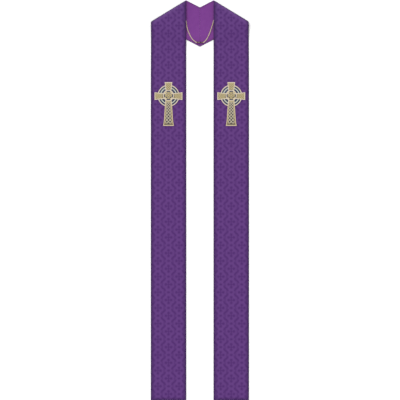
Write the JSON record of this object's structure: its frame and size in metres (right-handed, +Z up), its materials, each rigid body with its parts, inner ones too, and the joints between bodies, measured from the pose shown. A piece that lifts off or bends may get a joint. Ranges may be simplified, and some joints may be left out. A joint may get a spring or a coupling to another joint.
{
  "type": "clerical stole",
  "caption": "Flat-laid stole: long bands folded at the shoulders and mitred behind the neck, with an embroidered cross on each front and a clasped neck cord.",
  "frame": {"origin": "on the surface that the stole lies on, under the middle of its length and width", "axes": "+X to the right seen from above with the neck away from the viewer, +Y from the hems towards the neck, +Z up out of the surface"},
  "size_m": [0.3334, 1.3601, 0.0097],
  "materials": {
    "brocade": "purple figured brocade, softly lustrous",
    "lining_satin": "plain purple satin, satin sheen",
    "embroidery": "raised gold thread embroidery",
    "neck_cord": "twisted gold cord",
    "antique_brass": "antiqued brass, half polished"
  },
  "bodies": {
    "root": {"outer_left": "brocade", "outer_right": "brocade", "lining_left": "lining_satin", "lining_right": "lining_satin", "cross_left": "embroidery", "cross_right": "embroidery", "cord_left": "neck_cord", "cord_right": "neck_cord", "cap_left": "antique_brass", "cap_right": "antique_brass", "clasp_hook": "antique_brass", "clasp_ring": "antique_brass"}
  },
  "joints": []
}
